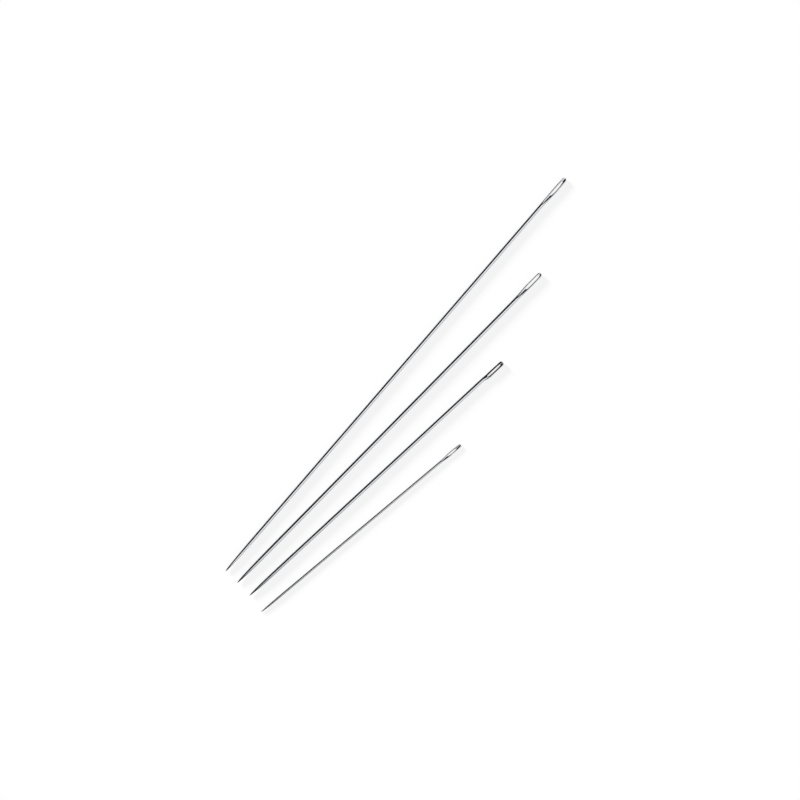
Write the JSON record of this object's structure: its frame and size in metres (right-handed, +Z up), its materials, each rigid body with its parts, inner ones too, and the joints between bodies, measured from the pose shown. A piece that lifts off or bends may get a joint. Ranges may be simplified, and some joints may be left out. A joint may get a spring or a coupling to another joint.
{
  "type": "hand needle set",
  "caption": "Set of long straight hand needles in graded lengths, laid in a fan, each with a ground point and a long stamped eye with thread gutters.",
  "frame": {"origin": "on the surface the needles lie on, under the middle of the fan's bounding box", "axes": "+X along the longest needle from its point to its eye, +Y towards the longest needle's side of the fan, +Z up through the eyes"},
  "size_m": [0.1548, 0.0292, 0.0012],
  "materials": {
    "plated_steel": "bright nickel plating on polished steel wire, fine drawing lines along the length"
  },
  "bodies": {
    "needle_6in": {"needle_6in_shank": "plated_steel", "needle_6in_eye": "plated_steel"},
    "needle_5in": {"needle_5in_shank": "plated_steel", "needle_5in_eye": "plated_steel"},
    "needle_4in": {"needle_4in_shank": "plated_steel", "needle_4in_eye": "plated_steel"},
    "needle_3in": {"needle_3in_shank": "plated_steel", "needle_3in_eye": "plated_steel"}
  },
  "joints": [
    {"name": "needle_5in_lift", "type": "slide", "parent": "needle_6in", "child": "needle_5in", "axis": [0, 0, 1], "range_m": [0, 0.03]},
    {"name": "needle_4in_lift", "type": "slide", "parent": "needle_6in", "child": "needle_4in", "axis": [0, 0, 1], "range_m": [0, 0.03]},
    {"name": "needle_3in_lift", "type": "slide", "parent": "needle_6in", "child": "needle_3in", "axis": [0, 0, 1], "range_m": [0, 0.03]}
  ]
}
